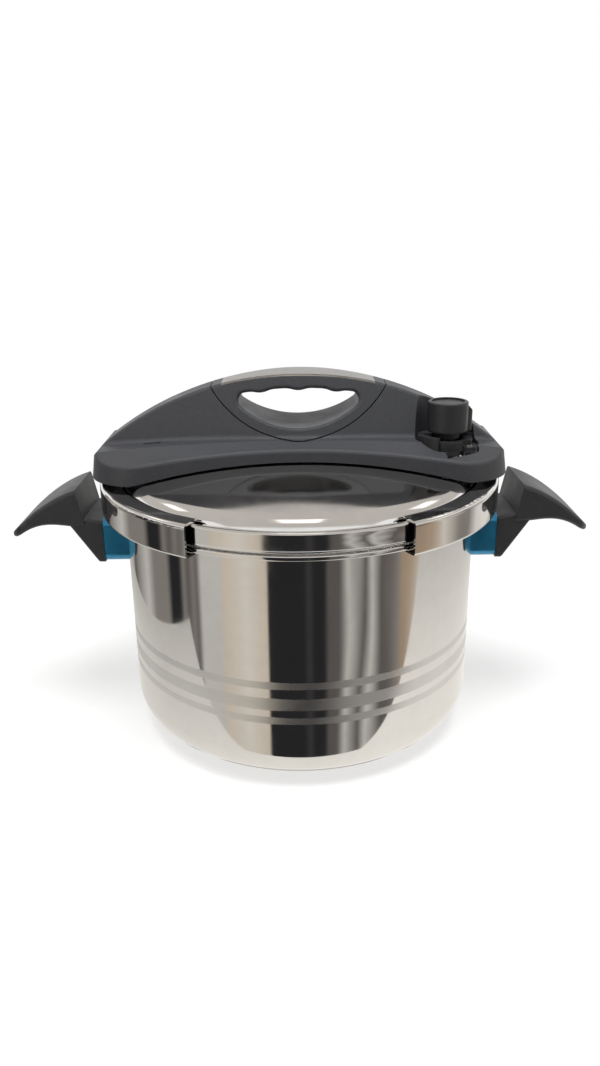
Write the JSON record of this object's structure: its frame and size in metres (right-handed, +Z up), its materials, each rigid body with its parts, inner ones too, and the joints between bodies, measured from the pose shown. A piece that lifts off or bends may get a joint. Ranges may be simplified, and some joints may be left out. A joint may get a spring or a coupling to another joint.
{
  "type": "pressure cooker",
  "caption": "Steel clamp-jaw pressure cooker with a domed lid, a lift-up grip in a black bridge beam, a steam valve knob and two drooping side handles.",
  "frame": {"origin": "centre of the base, at the level it stands on", "axes": "+X from the left side handle to the right one, +Y to the back, +Z up"},
  "size_m": [0.406, 0.2622, 0.2485],
  "materials": {
    "polished_steel": "mirror polished",
    "steel_parts": "satin",
    "brushed_strip": "brushed lengthwise",
    "black_plastic": "fine texture",
    "blue_metal": "metallic",
    "core_aluminium": "plain",
    "silicone": "matte"
  },
  "bodies": {
    "cooker": {"pot_body": "polished_steel", "base_core": "core_aluminium", "base_cap": "polished_steel", "left_bracket": "blue_metal", "right_bracket": "blue_metal", "left_side_handle": "black_plastic", "right_side_handle": "black_plastic", "handle_bosses": "steel_parts", "handle_screws": "steel_parts", "lid_shell": "polished_steel", "lid_gasket": "silicone", "beam_studs": "steel_parts", "beam_nuts": "steel_parts", "bridge_beam": "black_plastic", "left_jaw_guide": "steel_parts", "right_jaw_guide": "steel_parts", "valve_stem": "steel_parts", "valve_nut": "steel_parts", "valve_gasket": "silicone", "valve_filter": "steel_parts", "valve_collar": "black_plastic", "valve_spring": "steel_parts", "indicator_bush": "steel_parts", "indicator_cover": "black_plastic", "safety_body": "steel_parts", "safety_nut": "steel_parts", "safety_gasket": "silicone", "safety_spring": "steel_parts"},
    "grip": {"grip_front": "black_plastic", "grip_rear": "black_plastic", "grip_core": "steel_parts", "grip_strip": "brushed_strip", "grip_screws": "steel_parts"},
    "left_clamp": {"left_jaw": "polished_steel", "left_jaw_pin": "steel_parts"},
    "right_clamp": {"right_jaw": "polished_steel", "right_jaw_pin": "steel_parts"},
    "knob": {"valve_knob": "black_plastic", "knob_cap": "black_plastic"},
    "needle": {"valve_needle": "steel_parts"},
    "indicator": {"indicator_pin": "steel_parts"},
    "piston": {"safety_piston": "steel_parts"}
  },
  "joints": [
    {"name": "grip_lift", "type": "slide", "parent": "cooker", "child": "grip", "axis": [0, 0, 1], "range_m": [0, 0.012]},
    {"name": "left_jaw_slide", "type": "slide", "parent": "cooker", "child": "left_clamp", "axis": [-1, 0, 0], "range_m": [0, 0.0084]},
    {"name": "right_jaw_slide", "type": "slide", "parent": "cooker", "child": "right_clamp", "axis": [1, 0, 0], "range_m": [0, 0.0084]},
    {"name": "knob_turn", "type": "hinge", "parent": "cooker", "child": "knob", "pos_m": [0.0985, -0.021, 0.22], "axis": [0, 0, 1], "range_deg": [-100, 0]},
    {"name": "needle_lift", "type": "slide", "parent": "cooker", "child": "needle", "axis": [0, 0, 1], "range_m": [0, 0.0015], "stiffness_N_per_m": 500, "springref_m": -0.003, "deforming": ["valve_spring"]},
    {"name": "indicator_rise", "type": "slide", "parent": "cooker", "child": "indicator", "axis": [0, 0, 1], "range_m": [0, 0.004]},
    {"name": "safety_lift", "type": "slide", "parent": "cooker", "child": "piston", "axis": [0, 0, 1], "range_m": [0, 0.002], "stiffness_N_per_m": 1500, "springref_m": -0.003, "deforming": ["safety_spring"]}
  ],
  "couplings": [
    {"joint": "left_jaw_slide", "follows": "grip_lift", "ratio": 0.7},
    {"joint": "right_jaw_slide", "follows": "grip_lift", "ratio": 0.7}
  ]
}
